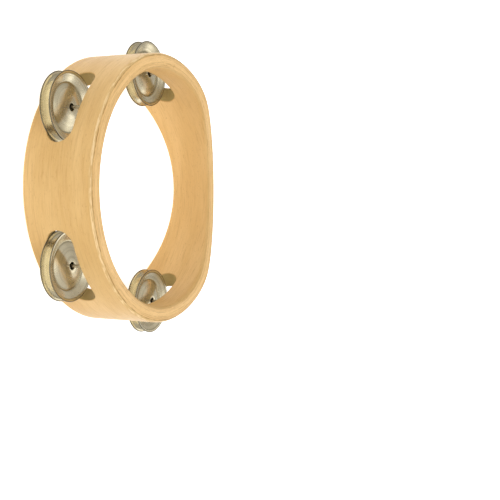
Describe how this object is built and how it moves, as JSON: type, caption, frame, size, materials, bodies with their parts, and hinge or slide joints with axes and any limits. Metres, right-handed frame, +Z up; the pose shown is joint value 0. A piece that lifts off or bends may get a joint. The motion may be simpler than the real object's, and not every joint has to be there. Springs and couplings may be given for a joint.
{
  "type": "headless tambourine",
  "caption": "Round bent-wood hand percussion ring with a thinned grip and slots holding pairs of loose metal jingles on pins.",
  "frame": {"origin": "centre of the ring's lower rim, on the ring's axis", "axes": "+Z up the ring's axis, away from the rim that the pins are driven in from; +Y from the centre to the middle of the thinned grip; X across"},
  "size_m": [0.2036, 0.1805, 0.05],
  "materials": {
    "face_veneer": "clear satin lacquer over pale maple",
    "cross_veneer": "clear satin lacquer over cross-grain maple edge",
    "core_veneer": "clear satin lacquer over pale maple edge",
    "pin_steel": "bright drawn steel",
    "jingle_plate": "bright nickel plate on stamped steel"
  },
  "bodies": {
    "hoop": {"inner_ply": "face_veneer", "inner_cross_ply": "cross_veneer", "core_ply": "core_veneer", "outer_cross_ply": "cross_veneer", "outer_ply": "face_veneer", "pin_1": "pin_steel", "pin_2": "pin_steel", "pin_3": "pin_steel", "pin_4": "pin_steel"},
    "lower_jingle_1": {"lower_jingle_1": "jingle_plate"},
    "upper_jingle_1": {"upper_jingle_1": "jingle_plate"},
    "lower_jingle_2": {"lower_jingle_2": "jingle_plate"},
    "upper_jingle_2": {"upper_jingle_2": "jingle_plate"},
    "lower_jingle_3": {"lower_jingle_3": "jingle_plate"},
    "upper_jingle_3": {"upper_jingle_3": "jingle_plate"},
    "lower_jingle_4": {"lower_jingle_4": "jingle_plate"},
    "upper_jingle_4": {"upper_jingle_4": "jingle_plate"}
  },
  "joints": [
    {"name": "lower_slide_1", "type": "slide", "parent": "hoop", "child": "lower_jingle_1", "axis": [0, 0, 1], "range_m": [0, 0.0046]},
    {"name": "upper_slide_1", "type": "slide", "parent": "lower_jingle_1", "child": "upper_jingle_1", "axis": [0, 0, 1], "range_m": [0, 0.0046]},
    {"name": "lower_slide_2", "type": "slide", "parent": "hoop", "child": "lower_jingle_2", "axis": [0, 0, 1], "range_m": [0, 0.0046]},
    {"name": "upper_slide_2", "type": "slide", "parent": "lower_jingle_2", "child": "upper_jingle_2", "axis": [0, 0, 1], "range_m": [0, 0.0046]},
    {"name": "lower_slide_3", "type": "slide", "parent": "hoop", "child": "lower_jingle_3", "axis": [0, 0, 1], "range_m": [0, 0.0046]},
    {"name": "upper_slide_3", "type": "slide", "parent": "lower_jingle_3", "child": "upper_jingle_3", "axis": [0, 0, 1], "range_m": [0, 0.0046]},
    {"name": "lower_slide_4", "type": "slide", "parent": "hoop", "child": "lower_jingle_4", "axis": [0, 0, 1], "range_m": [0, 0.0046]},
    {"name": "upper_slide_4", "type": "slide", "parent": "lower_jingle_4", "child": "upper_jingle_4", "axis": [0, 0, 1], "range_m": [0, 0.0046]}
  ]
}
